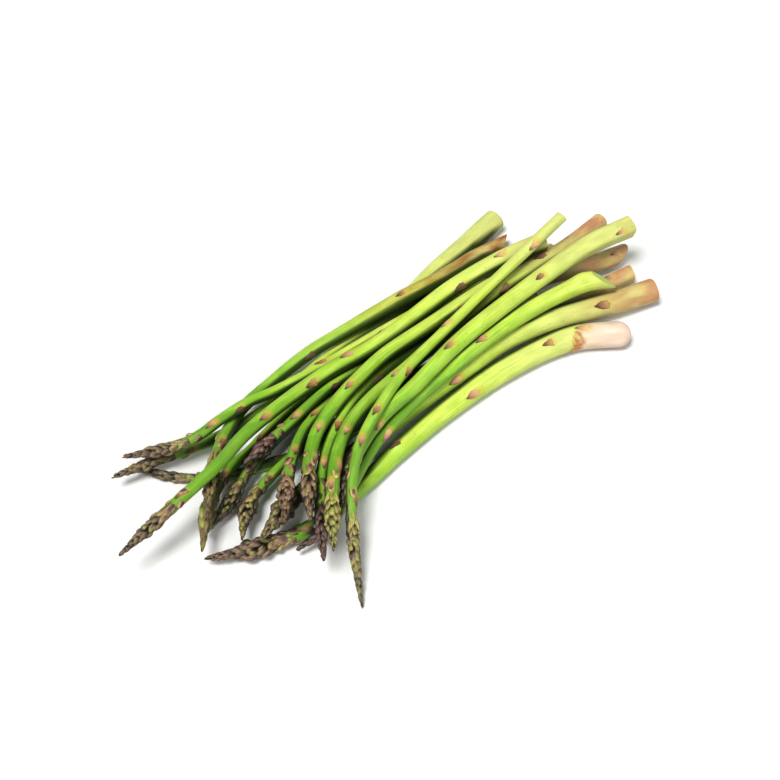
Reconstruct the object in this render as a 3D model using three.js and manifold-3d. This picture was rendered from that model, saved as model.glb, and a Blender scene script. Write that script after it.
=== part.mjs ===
// A loose bunch of green asparagus lying on its side, without a band.
// Millimetres, +Z up. +X runs along the bunch towards the cut ends, the tips are at -X,
// and the origin is on the resting plane under the middle of the bunch.
// Every spear is one natural piece: stem, pressed scale leaves and scaly head in one solid.
import * as THREE from "three";
import Module from "manifold-3d";

const wasm = await Module();
wasm.setup();

const GAP = 0.3; // clear space kept between neighbouring spears
const SIDES = 8; // flats round a stem, one of them always facing down
const STEPS = 60; // steps along a spear when it is laid down
const RING_STEP = 17; // distance between rings along the stem
const FLEX = 3700; // bending stiffness over weight, for a spear 1 mm thick, in mm^3
const SWEEPS = 2500; // relaxation passes until a laid spear has come to rest
const GOLDEN = (137.5 * Math.PI) / 180; // turn from one scale to the next, as on the living stem
const LEAF_LIFT = 0.65; // how far a scale leaf stands off the stem
const LEAF_LONG = 5; // length of a scale leaf on the thinnest stem
const LEAF_WIDE = 1.6; // half its width there
const LEAF_FACE = 2.75; // middle of the swing of the leaves round the stem, in radians from below
const LEAF_SWING = 0.7; // half that swing
const HEAD_ROWS = 7; // rows of scales on a head, each of four, set between those of the row before
const UNDER = 0.77; // radius under the lip of a scale, as a part of the radius over it

// Laid down in this order, each on the table or on those before it.
// butt, neck: stem thickness at the cut end and under the head. head: its length and thickness.
// droop: how far the ends hang below a straight line. cut: slant of the cut in degrees, and
// the side that it takes off, in radians round the stem from below. leaves: how far from the cut
// the scale leaves are rooted.
// way: where the spear runs in plan, cut end first, with x along the bunch and y across it.
const SPEARS = [
  {
    name: "spear_01", butt: 13.2, neck: 6.8, head: [38, 11.2], droop: 0, cut: [0, 0],
    leaves: [20, 40, 86, 133, 170, 194],
    way: [[115, -36], [90, -22], [55, -18], [18, -21], [-15, -27], [-42, -34], [-68, -39],
      [-92, -36], [-118, -27]],
  },
  {
    name: "spear_02", butt: 12.2, neck: 6.8, head: [28, 11], droop: 0, cut: [0, 0],
    leaves: [28, 72, 115, 152, 184, 203],
    way: [[143, -21], [120, -17], [88, -10], [60, -8], [40, -10], [0, -14], [-38, -19],
      [-66, -24], [-95, -37]],
  },
  {
    name: "spear_03", butt: 8.4, neck: 4.2, head: [24, 5.4], droop: 0, cut: [8, 1.6],
    leaves: [13, 49, 94, 136, 174, 206, 232],
    way: [[144, -5], [119, -3], [88, 1], [60, 1], [40, -1], [0, -3], [-40, -3], [-66, 2],
      [-88, 9], [-102, 19], [-116, 35]],
  },
  {
    name: "spear_04", butt: 6.4, neck: 5, head: [26, 9], droop: 0, cut: [10, 0],
    leaves: [28, 68, 106, 140, 168],
    way: [[94, 8], [60, 8], [40, 6], [0, 3], [-30, 0], [-50, -3], [-76, -10], [-90, -18],
      [-101, -31]],
  },
  {
    name: "spear_05", butt: 6, neck: 5.2, head: [28, 9.6], droop: 0, cut: [6, 3.1],
    leaves: [26, 70, 110, 146, 173],
    way: [[108, 23], [84, 24], [60, 24], [40, 22], [0, 17], [-25, 12], [-46, 2], [-64, -14],
      [-76, -29], [-87, -44]],
  },
  {
    name: "spear_06", butt: 6, neck: 4.8, head: [32, 8.4], droop: 0, cut: [12, 1.6],
    leaves: [28, 72, 114, 152, 172],
    way: [[96, 32], [60, 31], [40, 29], [0, 23], [-30, 18], [-47, 13], [-63, 7], [-80, -1],
      [-96, -10], [-111, -15]],
  },
  {
    name: "spear_07", butt: 6, neck: 4.8, head: [34, 8.6], droop: 0, cut: [5, 0],
    leaves: [30, 76, 118, 150, 178],
    way: [[86, 38], [60, 38], [40, 35], [0, 29], [-30, 25], [-50, 19], [-68, 12], [-84, 6],
      [-102, -7], [-119, -28]],
  },
  {
    name: "spear_08", butt: 11.5, neck: 5.2, head: [26, 6.6], droop: 0, cut: [0, 0],
    leaves: [45, 96, 124, 160, 186, 206],
    way: [[112, 63], [89, 57], [67, 52], [40, 44], [16, 39], [-10, 36], [-42, 29], [-70, 26],
      [-100, 29], [-129, 32]],
  },
  {
    name: "spear_09", butt: 9, neck: 5, head: [26, 7], droop: 2, cut: [52, 3.5],
    leaves: [77, 143, 166, 183],
    way: [[123, -14], [110, -8], [94, -6], [74, -6], [46, -9], [20, -13], [-7, -18], [-26, -24],
      [-48, -36], [-62, -44], [-72, -46], [-84, -46]],
  },
  {
    name: "spear_10", butt: 9.5, neck: 5.2, head: [30, 8], droop: 4, cut: [48, 0.3],
    leaves: [6, 48, 88, 151, 188, 211, 227],
    way: [[150, 7], [128, 9], [100, 14], [60, 16], [40, 15], [20, 14], [0, 10], [-18, 3],
      [-40, -11], [-55, -25], [-67, -42], [-81, -64]],
  },
  {
    name: "spear_11", butt: 5.6, neck: 5, head: [20, 9], droop: 2, cut: [8, 0],
    leaves: [38, 84, 120, 146],
    way: [[100, 28], [60, 28], [40, 26], [0, 20], [-17, 18], [-35, 13], [-50, 8], [-64, 4],
      [-80, 0]],
  },
  {
    name: "spear_12", butt: 8.8, neck: 5, head: [40, 8.4], droop: 4, cut: [50, 1.3],
    leaves: [71, 125, 175, 195],
    way: [[109, 47], [86, 46], [59, 42], [30, 41], [7, 41], [-18, 41], [-40, 37], [-60, 31],
      [-76, 21], [-91, 7], [-103, -9], [-112, -21]],
  },
  {
    name: "spear_13", butt: 5.8, neck: 4.8, head: [28, 6.4], droop: 6, cut: [10, 1.6],
    leaves: [40, 72, 121, 136],
    way: [[57, 34], [40, 32], [0, 31], [-30, 29], [-45, 28], [-59, 28], [-74, 26], [-89, 24],
      [-103, 27], [-121, 37]],
  },
  {
    name: "spear_14", butt: 10.2, neck: 6, head: [26, 7.8], droop: 6, cut: [4, 0],
    leaves: [7, 60, 120, 173, 188],
    way: [[149, 5], [124, 7], [90, 3], [60, -2], [32, -7], [4, -14], [-18, -18], [-36, -26],
      [-50, -36], [-60, -47]],
  },
  {
    name: "spear_15", butt: 8.2, neck: 6, head: [28, 8.8], droop: 6, cut: [6, 1.6],
    leaves: [20, 63, 134, 163, 181],
    way: [[115, 22], [100, 22], [63, 19], [38, 17], [8, 14], [-12, 8], [-30, 1], [-46, -8],
      [-58, -20], [-67, -33], [-76, -47]],
  },
  {
    name: "spear_16", butt: 8.4, neck: 5.6, head: [28, 8.6], droop: 12, cut: [0, 0],
    leaves: [44, 70, 143, 186, 207, 218],
    way: [[146, 23], [116, 16], [92, 14], [63, 12], [34, 7], [14, 3], [-12, -3], [-30, -11],
      [-46, -24], [-58, -38], [-68, -52], [-77, -66]],
  },
  {
    name: "spear_17", butt: 9, neck: 5.2, head: [28, 6.6], droop: 12, cut: [6, 0],
    leaves: [22, 45, 112, 136, 167, 224],
    way: [[106, 19], [84, 24], [56, 27], [36, 26], [6, 23], [-18, 22], [-46, 17], [-72, 9],
      [-94, -1], [-117, -7], [-150, -13]],
  },
  {
    name: "spear_18", butt: 5.6, neck: 4.6, head: [40, 6.8], droop: 16, cut: [12, 3.1],
    leaves: [20, 80, 115, 143, 160, 186],
    way: [[117, 20], [92, 16], [68, 12], [50, 8], [27, 2], [4, -6], [-16, -16], [-36, -28],
      [-50, -41], [-60, -55], [-69, -71], [-76, -85]],
  },
];

const FLAT = Math.cos(Math.PI / SIDES); // height of the axis over a flat, for a stem of radius 1

const turnOf = (k) => ((k + 0.5) * 2 * Math.PI) / SIDES;

const clamp = (x, a, b) => Math.min(b, Math.max(a, x));

// Outer radius of a spear at distance s from its cut end. The stem tapers evenly from butt to
// neck, and the head swells to its full thickness and closes to a point.
function radiusAt(spear, s) {
  const [headLength, headWidth] = spear.head;
  const neckAt = spear.length - headLength;
  if (s <= neckAt) {
    return (spear.butt + ((spear.neck - spear.butt) * clamp(s, 0, neckAt)) / neckAt) / 2;
  }
  const v = clamp((s - neckAt) / headLength, 0, 1);
  const swell = Math.sin(Math.PI * clamp(v / 0.7, 0, 1));
  const close = v > 0.35 ? Math.sqrt(clamp(1 - Math.pow((v - 0.35) / 0.65, 1.6), 0, 1)) : 1;
  return Math.max(0.25, ((spear.neck + (headWidth - spear.neck) * swell) / 2) * close);
}

// The straight line that a stiff rod would take on the heights h: it touches two of them on
// either side of the middle, and is the lowest such line there.
function stiffLine(h, step) {
  const middle = (h.length - 1) / 2;
  let best = { at: Infinity, from: 0, slope: 0 };
  for (let i = 0; i <= middle; i++) {
    let slope = -Infinity;
    for (let j = Math.floor(middle) + 1; j < h.length; j++) {
      slope = Math.max(slope, (h[j] - h[i]) / ((j - i) * step));
    }
    const at = h[i] + slope * (middle - i) * step;
    const clear = h.every((value, k) => h[i] + slope * (k - i) * step >= value - 1e-6);
    if (clear && at < best.at) {
      best = { at, from: i, slope };
    }
  }
  return h.map((_, k) => h[best.from] + best.slope * (k - best.from) * step);
}

// A springy rod laid on the heights h. It sinks under its weight until its bending holds it, and
// nowhere lies lower than h. bend is its own curve when free, over one step.
function settle(h, step, stiffness, bend) {
  const z = stiffLine(h, step);
  const last = z.length - 1;
  const weight = Math.pow(step, 4) / stiffness;
  for (let sweep = 0; sweep < SWEEPS; sweep++) {
    for (let k = 0; k <= last; k++) {
      let force = 0;
      let hold = 0;
      if (k >= 2) {
        force += z[k - 2] - 2 * z[k - 1] + z[k] - bend;
        hold += 1;
      }
      if (k >= 1 && k < last) {
        force -= 2 * (z[k - 1] - 2 * z[k] + z[k + 1] - bend);
        hold += 4;
      }
      if (k <= last - 2) {
        force += z[k] - 2 * z[k + 1] + z[k + 2] - bend;
        hold += 1;
      }
      const pull = k === 0 || k === last ? weight / 2 : weight;
      z[k] = Math.max(h[k], z[k] - (1.8 * (force + pull)) / hold);
    }
  }
  return z;
}

// Lays one spear on the table and on the spears already laid, and keeps its axis as a curve.
function lay(spear, laid) {
  const plan = new THREE.CatmullRomCurve3(
    spear.way.map(([x, y]) => new THREE.Vector3(x, y, 0)), false, "centripetal");
  plan.arcLengthDivisions = 400;
  spear.length = plan.getLength();
  const step = spear.length / STEPS;
  const points = plan.getSpacedPoints(STEPS);
  const floor = points.map((p, i) => {
    const r = radiusAt(spear, i * step);
    let height = r * FLAT;
    for (const other of laid) {
      for (const q of other.fine) {
        const reach = r + q.r + GAP;
        const across = Math.hypot(p.x - q.x, p.y - q.y);
        if (across < reach) {
          height = Math.max(height, q.z + 1.03 * Math.sqrt(reach * reach - across * across));
        }
      }
    }
    return height;
  });
  const thick = (spear.butt + spear.neck) / 2;
  const bend = ((-8 * spear.droop) / (spear.length * spear.length)) * step * step;
  const heights = settle(floor, step, FLEX * thick * thick, bend);
  points.forEach((p, i) => { p.z = heights[i]; });
  spear.axis = points;
  spear.step = step;
  spear.fine = [];
  for (let i = 0; i <= 4 * STEPS; i++) {
    const p = axisAt(spear, (i * step) / 4);
    spear.fine.push({ x: p.x, y: p.y, z: p.z, r: radiusAt(spear, (i * step) / 4) });
  }
}

// Point of the axis at distance s from the cut end.
function axisAt(spear, s) {
  const at = clamp(s / spear.step, 0, STEPS);
  const i = Math.min(STEPS - 1, Math.floor(at));
  return spear.axis[i].clone().lerp(spear.axis[i + 1], at - i);
}

// Direction of the axis, the side direction and the downward direction across it.
function frameAt(spear, s) {
  const ahead = axisAt(spear, Math.min(s + 3, spear.length));
  const along = ahead.sub(axisAt(spear, Math.max(s - 3, 0))).normalize();
  const side = new THREE.Vector3(0, 0, 1).cross(along).normalize();
  const down = new THREE.Vector3().crossVectors(side, along).normalize();
  return { along, side, down };
}

// Point at distance s, turned by angle round the axis from below, at radius r, and pushed along.
// What would reach the table lies flat on it.
function pointAt(spear, s, angle, r, push = 0) {
  const { along, side, down } = frameAt(spear, s);
  const p = axisAt(spear, s)
    .addScaledVector(down, r * Math.cos(angle))
    .addScaledVector(side, r * Math.sin(angle))
    .addScaledVector(along, push);
  p.z = p.z < 0.05 ? 0 : p.z;
  return p;
}

function solid(points, triangles) {
  const mesh = new wasm.Mesh({
    numProp: 3,
    vertProperties: new Float32Array(points.flatMap((p) => [p.x, p.y, p.z])),
    triVerts: new Uint32Array(triangles.flat()),
  });
  return new wasm.Manifold(mesh);
}

// Stem and head in one skin: rings of eight points from the cut to the tip. On the head each row
// is two rings. The first is the lip of the scales, with four points drawn forward, and the
// second steps in under it, so that every scale stands out over the roots of the next row.
function body(spear) {
  const headLength = spear.head[0];
  const neckAt = spear.length - headLength;
  const slant = Math.tan((spear.cut[0] * Math.PI) / 180);
  const start = 7.2 + spear.butt * slant;
  const count = Math.round((neckAt - start) / RING_STEP);
  const rings = [];
  const ring = (place) => rings.push(Array.from({ length: SIDES }, (_, k) => place(k)));
  for (const [s, r] of [[0, 0.88], [1.2, 1]]) {
    const deep = slant * radiusAt(spear, s) * r;
    ring((k) => ({ s, r, push: deep * (1 + Math.cos(turnOf(k) - spear.cut[1])) }));
  }
  for (let i = 0; i <= count; i++) {
    ring(() => ({ s: start + ((neckAt - start) * i) / count, r: 1 }));
  }
  const pitch = (headLength * 0.93) / (HEAD_ROWS + 0.6);
  for (let row = 0; row < HEAD_ROWS; row++) {
    const s = neckAt + pitch * (row + 0.25);
    const forward = (k) => (k + row) % 2 === 0;
    ring((k) => (forward(k) ? { s: s + 0.62 * pitch, r: 1 } : { s, r: 0.88 }));
    ring((k) => (forward(k) ? { s: s + 0.52 * pitch, r: UNDER } : { s: s + 0.12 * pitch, r: UNDER + 0.02 }));
  }
  const points = rings.flatMap((line) => line.map(({ s, r, push }, k) => (
    pointAt(spear, s, turnOf(k), radiusAt(spear, s) * r, push)
  )));
  const triangles = [];
  for (let k = 1; k < SIDES - 1; k++) {
    triangles.push([0, k + 1, k]);
  }
  for (let i = 0; i < rings.length - 1; i++) {
    for (let k = 0; k < SIDES; k++) {
      const a = i * SIDES + k;
      const b = i * SIDES + ((k + 1) % SIDES);
      triangles.push([a, b, b + SIDES], [a, b + SIDES, a + SIDES]);
    }
  }
  const tip = points.length;
  points.push(pointAt(spear, spear.length - 0.4, 0, 0));
  const lastRing = (rings.length - 1) * SIDES;
  for (let k = 0; k < SIDES; k++) {
    triangles.push([lastRing + k, lastRing + ((k + 1) % SIDES), tip]);
  }
  return solid(points, triangles);
}

// A pointed scale: left and right corner, root inside the stem, ridge outside, and tip.
function scale(left, right, root, ridge, tip) {
  return solid(
    [left, right, root, ridge, tip],
    [[0, 2, 3], [0, 3, 4], [0, 4, 2], [1, 3, 2], [1, 4, 3], [1, 2, 4]],
  );
}

// Whether points outside a spear keep clear of the table and of all the other spears.
function isClear(spear, points) {
  return points.every((p) => p.z > 0.2 && SPEARS.every((other) => other === spear
    || other.fine.every((q) => Math.hypot(p.x - q.x, p.y - q.y, p.z - q.z) > q.r + GAP + 0.1)));
}

// The triangular leaves pressed to the stem, larger on a thicker stem. Each is turned on until it
// lies free of neighbours.
function leaves(spear) {
  const found = [];
  spear.leaves.forEach((s, i) => {
    const r = radiusAt(spear, s);
    const reach = LEAF_LONG + 0.5 * r;
    const half = (LEAF_WIDE + 0.22 * r) / r;
    for (let turn = 0; turn < 12; turn++) {
      const swing = Math.ceil(turn / 2) * (turn % 2 ? 0.5 : -0.5);
      const angle = LEAF_FACE + LEAF_SWING * Math.sin(i * GOLDEN + spear.butt) + swing;
      const ridge = pointAt(spear, s + reach * 0.22, angle, r + LEAF_LIFT);
      const tip = pointAt(spear, s + reach, angle, radiusAt(spear, s + reach) + LEAF_LIFT * 0.6);
      const left = pointAt(spear, s, angle - half, r + 0.05);
      const right = pointAt(spear, s, angle + half, r + 0.05);
      if (isClear(spear, [ridge, tip, left, right])) {
        found.push(scale(left, right, pointAt(spear, s - 0.5, angle, r * 0.5), ridge, tip));
        break;
      }
    }
  });
  return found;
}

const laid = [];
for (const spear of SPEARS) {
  lay(spear, laid);
  laid.push(spear);
}

const group = new THREE.Group();
const box = new THREE.Box3();
SPEARS.forEach((spear, index) => {
  let whole = body(spear);
  for (const piece of leaves(spear)) {
    whole = whole.add(piece);
  }
  const mesh = whole.getMesh();
  const geometry = new THREE.BufferGeometry();
  geometry.setAttribute("position", new THREE.BufferAttribute(new Float32Array(mesh.vertProperties), 3));
  geometry.setIndex(new THREE.BufferAttribute(new Uint32Array(mesh.triVerts), 1));
  geometry.computeVertexNormals();
  const green = new THREE.Color().setHSL(0.23 + 0.012 * (index % 4), 0.62, 0.42 + 0.02 * (index % 3));
  const material = new THREE.MeshStandardMaterial({ color: green, roughness: 0.5, metalness: 0 });
  const piece = new THREE.Mesh(geometry, material);
  piece.name = spear.name;
  box.expandByObject(piece);
  group.add(piece);
});

// The origin goes under the middle of the bunch.
const centre = box.getCenter(new THREE.Vector3());
group.children.forEach((piece) => piece.position.set(-centre.x, -centre.y, 0));

export default group;
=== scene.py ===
import math

import bpy
import numpy as np
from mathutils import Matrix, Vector


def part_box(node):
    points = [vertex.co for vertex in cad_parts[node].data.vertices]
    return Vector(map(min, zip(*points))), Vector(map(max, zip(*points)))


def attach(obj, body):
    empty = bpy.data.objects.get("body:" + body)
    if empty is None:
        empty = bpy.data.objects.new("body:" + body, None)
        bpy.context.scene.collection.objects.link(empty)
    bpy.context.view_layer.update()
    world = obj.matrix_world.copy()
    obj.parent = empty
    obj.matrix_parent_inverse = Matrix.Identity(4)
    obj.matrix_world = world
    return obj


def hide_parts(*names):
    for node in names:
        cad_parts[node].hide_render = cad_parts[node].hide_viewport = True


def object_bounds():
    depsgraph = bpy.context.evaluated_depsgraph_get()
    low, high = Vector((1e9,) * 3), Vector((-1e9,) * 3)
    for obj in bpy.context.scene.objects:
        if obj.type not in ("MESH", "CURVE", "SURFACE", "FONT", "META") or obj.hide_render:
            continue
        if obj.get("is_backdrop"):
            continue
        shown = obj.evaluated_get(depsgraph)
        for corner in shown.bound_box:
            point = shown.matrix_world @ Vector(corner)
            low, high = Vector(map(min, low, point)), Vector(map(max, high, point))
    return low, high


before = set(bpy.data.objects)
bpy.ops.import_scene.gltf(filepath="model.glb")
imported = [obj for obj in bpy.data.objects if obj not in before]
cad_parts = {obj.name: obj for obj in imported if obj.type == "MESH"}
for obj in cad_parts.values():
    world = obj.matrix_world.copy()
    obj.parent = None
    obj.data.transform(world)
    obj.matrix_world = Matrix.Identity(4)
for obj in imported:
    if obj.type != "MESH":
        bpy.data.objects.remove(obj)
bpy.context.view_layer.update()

# A loose bunch of green asparagus, laid down spear by spear. Shapes are worked out in
# millimetres, with +X along the bunch towards the cut ends, and become metres in the meshes.
MM = 0.001

GAP = 0.3  # clear space kept between neighbouring spears
SIDES = 8  # flats round a stem of the model that the spears are laid down by
FLAT = math.cos(math.pi / SIDES)  # height of the axis over a flat, for a stem of radius 1
STEPS = 60  # steps along a spear when it is laid down
FLEX = 3700  # bending stiffness over weight, for a spear 1 mm thick, in mm^3
SWEEPS = 2500  # relaxation passes until a laid spear has come to rest
HASTE = 1.8  # each pass moves a station this many times the way to its balance
OVER = 1.03  # extra height over a spear below, as sloping stems touch a little to one side
LOOK_ALONG = 3  # distance to either side that a spear's direction is taken over
GOLDEN = math.radians(137.5)  # turn from one scale to the next, as on the living stem
LEAF_LIFT = 0.65  # how far a scale leaf stands off the stem
LEAF_LONG = 5  # length of a scale leaf, before what the stem's thickness adds
LEAF_LONGER = 0.5  # length added for each mm of the stem's radius
LEAF_WIDE = 1.6  # half its width, before what the stem's thickness adds
LEAF_WIDER = 0.22  # half width added for each mm of the stem's radius
LEAF_FACE = 2.75  # middle of the swing of the leaves round the stem, in radians from below
LEAF_SWING = 0.7  # half that swing
CROWD_ROWS = 72  # rows of the grid that the crowding of a stem, which sets the painted shade, is worked out on
CROWD_SIDES = 16  # its places round the stem
STEM_SIDES = 44  # points round a stem's mesh
STEM_STEP = 1.1  # distance between its rings
CUSHION = 0.3  # height of the swelling under a scale leaf
CREASE = 0.2  # depth of the crease in the thickest stem
SCALES = 1.35  # pointed scales to a mm of head
BUDS = 1.4  # round buds to a mm of head
NECK_SCALES = (-0.34, -0.24, -0.16, -0.1, -0.05)  # places of those on the neck, in head lengths

SKIN, FLESH, LEAF, TIP = range(4)  # places of the materials in the list of a piece

CAMERA_TURN = -36  # side that the photograph was taken from, in degrees from the front
CAMERA_HEIGHT = 50  # its height in degrees over the table
CAMERA_AWAY = 800  # its distance
AIM = 10  # height that it looks at
LENS = 80.3  # focal length that puts 0.46 mm in a pixel there, on a film 36 wide

# Sizes of the patterns in the materials. Their positions run in mm, so a texture's scale is 1 over
# its size. The real fibres and veins are 0.1 to 0.3 mm wide, too fine to show from the camera, so
# they are drawn coarser.
STREAK = 0.8  # width of the light streaks along the skin
RIB = 0.35  # width of the fine ribs that roughen it
PATCH = 12.5  # size of its greener and yellower patches
MOTTLE = 3.3  # size of its soft lighter and darker spots
BLOTCH = 6.2  # size of the rosy and brown blotches near the cut
SORE = 2.2  # size of the torn flakes round the scar
SPECK_APART = 3.1  # distance between brown specks
BUNDLE_APART = 0.9  # distance between the fibre bundles in the cut flesh
DRIED = 2  # size of the dried spots there
LEAF_VEIN = 0.63  # width of the veins in a scale leaf
TIP_VEIN = 0.72  # width of the veins in a scale of the tip

# Laid down in this order. butt, neck: stem thickness at the cut end and under the head. head:
# its length and thickness. droop: how far the ends hang. cut: slant of the cut in degrees, and
# the side that sticks out least, in radians from below. leaves: how far from the cut the scale
# leaves are rooted. way: the plan of the spear. look: pale and blush are the shares of the
# length over which the paleness and the pink of the cut end fade out, dry is how brown that end
# is, purple is the tone of the head, light is how far its scales' edges and ends are lightened,
# partly their own paler rims and partly painted highlight, round is how far the cut edge is
# rounded, long is the length of the head's scales against the usual one, square is how far the
# butt is squared off, fresh is how green the cut flesh is, and green is how much greener the
# stem is.
# Where a spear's own look doesn't say, it is as in LOOK. One has two more: root is the length
# of its pale root end, and crease is where a fine crease runs round it.
LOOK = dict(pale=0.2, blush=0.1, dry=0.3, purple=0.6, light=0.5, round=0.8, long=1.0, square=0.03,
            fresh=0.0, green=0.0)
SPEARS = [
    dict(name="spear_01", butt=13.2, neck=6.8, head=(38, 11.2), droop=0, cut=(0, 0),
         leaves=(20, 40, 86, 133, 170, 194),
         look=dict(pale=0.3, dry=0.1, purple=0.65, light=0.3, round=6.0, long=0.9, root=24,
                   crease=78),
         way=[(115, -36), (90, -22), (55, -18), (18, -21), (-15, -27), (-42, -34), (-68, -39),
              (-92, -36), (-118, -27)]),
    dict(name="spear_02", butt=12.2, neck=6.8, head=(28, 11), droop=0, cut=(0, 0),
         leaves=(28, 72, 115, 152, 184, 203),
         look=dict(pale=0.4, blush=0.22, dry=0.4, purple=0.45, light=0.45, round=1.0),
         way=[(143, -21), (120, -17), (88, -10), (60, -8), (40, -10), (0, -14), (-38, -19),
              (-66, -24), (-95, -37)]),
    dict(name="spear_03", butt=8.4, neck=4.2, head=(24, 5.4), droop=0, cut=(8, 1.6),
         leaves=(13, 49, 94, 136, 174, 206, 232),
         look=dict(pale=0.3, blush=0.3, purple=0.55, light=0.4, round=1.0),
         way=[(144, -5), (119, -3), (88, 1), (60, 1), (40, -1), (0, -3), (-40, -3), (-66, 2),
              (-88, 9), (-102, 19), (-116, 35)]),
    dict(name="spear_04", butt=6.4, neck=5, head=(26, 9), droop=0, cut=(10, 0),
         leaves=(28, 68, 106, 140, 168),
         look=dict(purple=0.4, light=0.7),
         way=[(94, 8), (60, 8), (40, 6), (0, 3), (-30, 0), (-50, -3), (-76, -10), (-90, -18),
              (-101, -31)]),
    dict(name="spear_05", butt=6, neck=5.2, head=(28, 9.6), droop=0, cut=(6, 3.1),
         leaves=(26, 70, 110, 146, 173),
         look=dict(purple=0.8, light=0.55),
         way=[(108, 23), (84, 24), (60, 24), (40, 22), (0, 17), (-25, 12), (-46, 2), (-64, -14),
              (-76, -29), (-87, -44)]),
    dict(name="spear_06", butt=6, neck=4.8, head=(32, 8.4), droop=0, cut=(12, 1.6),
         leaves=(28, 72, 114, 152, 172),
         look=dict(purple=0.45, light=0.45),
         way=[(96, 32), (60, 31), (40, 29), (0, 23), (-30, 18), (-47, 13), (-63, 7), (-80, -1),
              (-96, -10), (-111, -15)]),
    dict(name="spear_07", butt=6, neck=4.8, head=(34, 8.6), droop=0, cut=(5, 0),
         leaves=(30, 76, 118, 150, 178),
         look=dict(purple=0.3, long=1.9),
         way=[(86, 38), (60, 38), (40, 35), (0, 29), (-30, 25), (-50, 19), (-68, 12), (-84, 6),
              (-102, -7), (-119, -28)]),
    dict(name="spear_08", butt=11.5, neck=5.2, head=(26, 6.6), droop=0, cut=(0, 0),
         leaves=(45, 96, 124, 160, 186, 206),
         look=dict(pale=0.36, blush=0.0, dry=0.0, purple=0.5, round=2.0),
         way=[(112, 63), (89, 57), (67, 52), (40, 44), (16, 39), (-10, 36), (-42, 29), (-70, 26),
              (-100, 29), (-129, 32)]),
    dict(name="spear_09", butt=9, neck=5, head=(26, 7), droop=2, cut=(52, 3.5),
         leaves=(77, 143, 166, 183),
         look=dict(pale=0.06, blush=0.0, dry=0.1, purple=0.7, light=0.2, fresh=0.9, green=0.18),
         way=[(123, -14), (110, -8), (94, -6), (74, -6), (46, -9), (20, -13), (-7, -18),
              (-26, -24), (-48, -36), (-62, -44), (-72, -46), (-84, -46)]),
    dict(name="spear_10", butt=9.5, neck=5.2, head=(30, 8), droop=4, cut=(48, 0.3),
         leaves=(6, 48, 88, 151, 188, 211, 227),
         look=dict(pale=0.25, blush=0.4, dry=0.0, purple=0.95, light=0.15),
         way=[(150, 7), (128, 9), (100, 14), (60, 16), (40, 15), (20, 14), (0, 10), (-18, 3),
              (-40, -11), (-55, -25), (-67, -42), (-81, -64)]),
    dict(name="spear_11", butt=5.6, neck=5, head=(20, 9), droop=2, cut=(8, 0),
         leaves=(38, 84, 120, 146),
         look=dict(purple=1.0, light=0.2),
         way=[(100, 28), (60, 28), (40, 26), (0, 20), (-17, 18), (-35, 13), (-50, 8), (-64, 4),
              (-80, 0)]),
    dict(name="spear_12", butt=8.8, neck=5, head=(40, 8.4), droop=4, cut=(50, 1.3),
         leaves=(71, 125, 175, 195),
         look=dict(pale=0.18, blush=0.45, dry=0.9, purple=0.4, light=0.4, long=1.5, green=0.15),
         way=[(109, 47), (86, 46), (59, 42), (30, 41), (7, 41), (-18, 41), (-40, 37), (-60, 31),
              (-76, 21), (-91, 7), (-103, -9), (-112, -21)]),
    dict(name="spear_13", butt=5.8, neck=4.8, head=(28, 6.4), droop=6, cut=(10, 1.6),
         leaves=(40, 72, 121, 136),
         look=dict(pale=0.15, dry=0.2),
         way=[(57, 34), (40, 32), (0, 31), (-30, 29), (-45, 28), (-59, 28), (-74, 26), (-89, 24),
              (-103, 27), (-121, 37)]),
    dict(name="spear_14", butt=10.2, neck=6, head=(26, 7.8), droop=6, cut=(4, 0),
         leaves=(7, 60, 120, 173, 188),
         look=dict(pale=0.38, blush=0.05, light=0.4, round=1.2, square=0.09),
         way=[(149, 5), (124, 7), (90, 3), (60, -2), (32, -7), (4, -14), (-18, -18), (-36, -26),
              (-50, -36), (-60, -47)]),
    dict(name="spear_15", butt=8.2, neck=6, head=(28, 8.8), droop=6, cut=(6, 1.6),
         leaves=(20, 63, 134, 163, 181),
         look=dict(blush=0.15, light=0.55),
         way=[(115, 22), (100, 22), (63, 19), (38, 17), (8, 14), (-12, 8), (-30, 1), (-46, -8),
              (-58, -20), (-67, -33), (-76, -47)]),
    dict(name="spear_16", butt=8.4, neck=5.6, head=(28, 8.6), droop=12, cut=(0, 0),
         leaves=(44, 70, 143, 186, 207, 218),
         look=dict(pale=0.25, blush=0.26, purple=0.2, light=0.9, round=1.6),
         way=[(146, 23), (116, 16), (92, 14), (63, 12), (34, 7), (14, 3), (-12, -3), (-30, -11),
              (-46, -24), (-58, -38), (-68, -52), (-77, -66)]),
    dict(name="spear_17", butt=9, neck=5.2, head=(28, 6.6), droop=12, cut=(6, 0),
         leaves=(22, 45, 112, 136, 167, 224),
         look=dict(pale=0.14, blush=0.08, dry=0.2, green=0.1),
         way=[(106, 19), (84, 24), (56, 27), (36, 26), (6, 23), (-18, 22), (-46, 17), (-72, 9),
              (-94, -1), (-117, -7), (-150, -13)]),
    dict(name="spear_18", butt=5.6, neck=4.6, head=(40, 6.8), droop=16, cut=(12, 3.1),
         leaves=(20, 80, 115, 143, 160, 186),
         look=dict(blush=0.0, dry=0.4, purple=0.35, light=0.75),
         way=[(117, 20), (92, 16), (68, 12), (50, 8), (27, 2), (4, -6), (-16, -16), (-36, -28),
              (-50, -41), (-60, -55), (-69, -71), (-76, -85)]),
]


def smooth_step(x):
    """0 below 0 and 1 above 1, with a soft S-shaped rise between."""
    x = np.clip(x, 0, 1)
    return x * x * (3 - 2 * x)


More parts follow.
